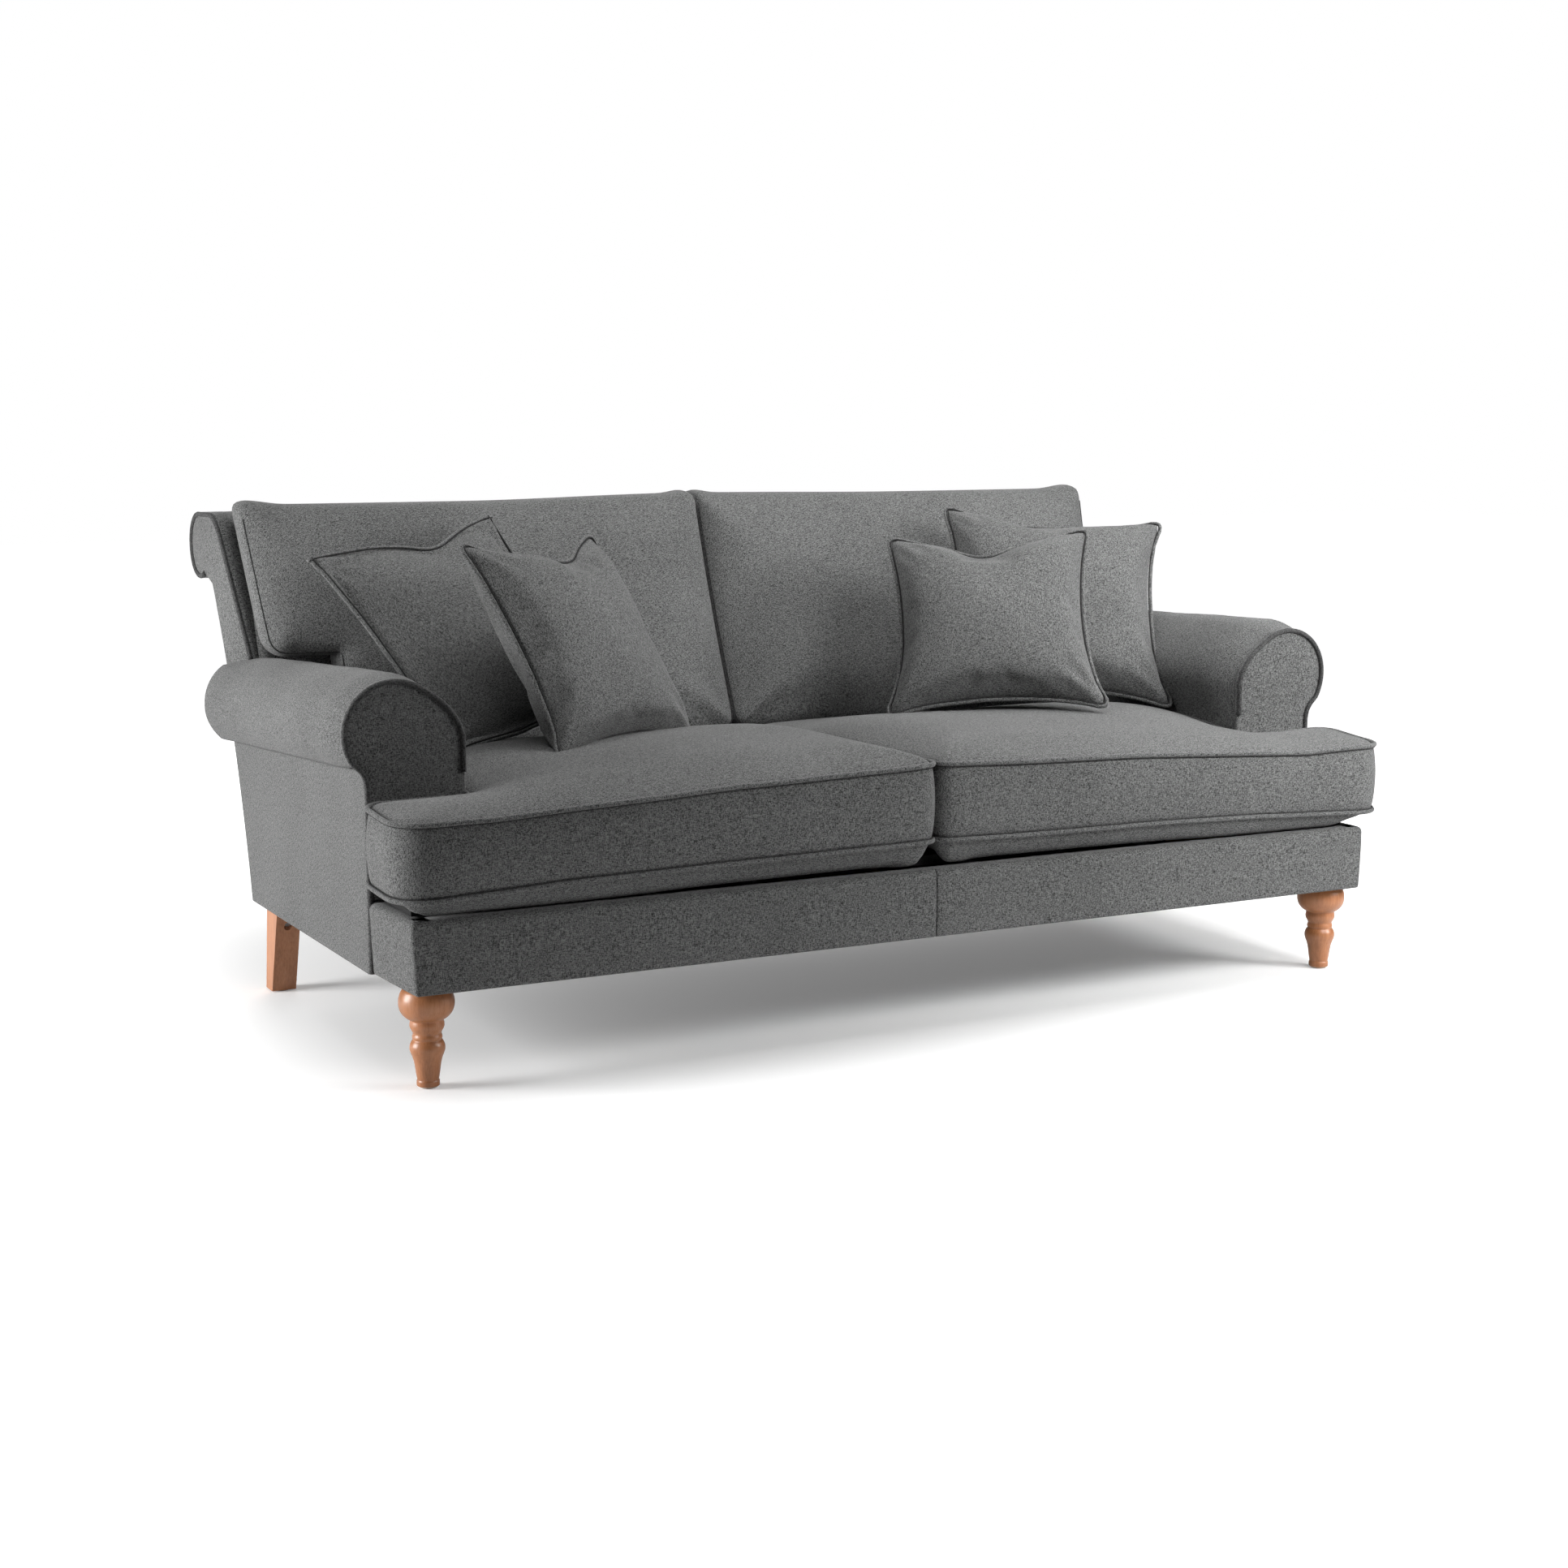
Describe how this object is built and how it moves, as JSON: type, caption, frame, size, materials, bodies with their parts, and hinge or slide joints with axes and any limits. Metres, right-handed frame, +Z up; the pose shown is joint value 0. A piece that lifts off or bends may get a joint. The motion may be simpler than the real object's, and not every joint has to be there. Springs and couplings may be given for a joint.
{
  "type": "two-seat sofa",
  "caption": "Two-seat sofa with scroll arms, a raked scroll back, L-shaped loose seat and back cushions, scatter cushions and turned wooden legs, for sitting on.",
  "frame": {"origin": "centre of the footprint at floor level", "axes": "+X along the sofa's length towards the viewer's right, +Y towards the back, +Z up"},
  "size_m": [1.9894, 1.216, 0.884],
  "materials": {
    "fabric": "matt heathered grey plain weave over padding",
    "cushion_fabric": "matt heathered grey plain weave with self piping",
    "platform_cloth": "dark matt platform cloth",
    "webbing": "dark elastic webbing",
    "beech": "satin lacquered beech",
    "timber": "raw sawn softwood",
    "plywood": "raw plywood",
    "steel": "bright zinc plated",
    "glides": "matt moulded nylon"
  },
  "bodies": {
    "frame": {"arm_facing_left": "fabric", "arm_facing_right": "fabric", "arm_front_board_left": "plywood", "arm_front_board_right": "plywood", "arm_lower_rail_left": "timber", "arm_lower_rail_right": "timber", "arm_outer_cover_left": "fabric", "arm_outer_cover_right": "fabric", "arm_scroll_pad_left": "fabric", "arm_scroll_pad_right": "fabric", "arm_top_rail_left": "timber", "arm_top_rail_right": "timber", "back_corner_block_left": "timber", "back_corner_block_right": "timber", "back_facing_left": "fabric", "back_facing_right": "fabric", "back_glide_left": "glides", "back_glide_right": "glides", "back_leg_left": "beech", "back_leg_right": "beech", "back_leg_screw_left": "steel", "back_leg_screw_right": "steel", "back_lower_rail": "timber", "back_post_centre": "plywood", "back_post_left": "plywood", "back_post_right": "plywood", "back_top_rail": "timber", "back_webbing": "webbing", "base_front_cover_left": "fabric", "base_front_cover_right": "fabric", "centre_rail": "timber", "dust_cover": "platform_cloth", "front_corner_block_left": "timber", "front_corner_block_right": "timber", "front_glide_left": "glides", "front_glide_right": "glides", "front_leg_left": "beech", "front_leg_right": "beech", "front_rail": "timber", "hanger_bolt_left": "steel", "hanger_bolt_right": "steel", "inside_back_pad": "fabric", "leg_plate_left": "steel", "leg_plate_right": "steel", "outside_back_cover": "fabric", "rear_rail": "timber", "scroll_rail": "timber", "seat_deck": "platform_cloth", "seat_springs": "steel", "side_rail_left": "timber", "side_rail_right": "timber"},
    "seat_cushion_left": {"seat_cushion_left": "cushion_fabric"},
    "back_cushion_left": {"back_cushion_left": "cushion_fabric"},
    "large_scatter_left": {"large_scatter_left": "cushion_fabric"},
    "small_scatter_left": {"small_scatter_left": "cushion_fabric"},
    "seat_cushion_right": {"seat_cushion_right": "cushion_fabric"},
    "back_cushion_right": {"back_cushion_right": "cushion_fabric"},
    "large_scatter_right": {"large_scatter_right": "cushion_fabric"},
    "small_scatter_right": {"small_scatter_right": "cushion_fabric"}
  },
  "joints": [
    {"name": "seat_cushion_left_lift", "type": "slide", "parent": "frame", "child": "seat_cushion_left", "axis": [0, 0, 1], "range_m": [0, 0.3]},
    {"name": "back_cushion_left_lift", "type": "slide", "parent": "seat_cushion_left", "child": "back_cushion_left", "axis": [0, 0, 1], "range_m": [0, 0.3]},
    {"name": "large_scatter_left_lift", "type": "slide", "parent": "back_cushion_left", "child": "large_scatter_left", "axis": [0, -0.6, 0.8], "range_m": [0, 0.25]},
    {"name": "small_scatter_left_lift", "type": "slide", "parent": "large_scatter_left", "child": "small_scatter_left", "axis": [0.28, -0.576, 0.768], "range_m": [0, 0.25]},
    {"name": "seat_cushion_right_lift", "type": "slide", "parent": "frame", "child": "seat_cushion_right", "axis": [0, 0, 1], "range_m": [0, 0.3]},
    {"name": "back_cushion_right_lift", "type": "slide", "parent": "seat_cushion_right", "child": "back_cushion_right", "axis": [0, 0, 1], "range_m": [0, 0.3]},
    {"name": "large_scatter_right_lift", "type": "slide", "parent": "back_cushion_right", "child": "large_scatter_right", "axis": [0, -0.6, 0.8], "range_m": [0, 0.25]},
    {"name": "small_scatter_right_lift", "type": "slide", "parent": "large_scatter_right", "child": "small_scatter_right", "axis": [-0.28, -0.576, 0.768], "range_m": [0, 0.25]}
  ]
}
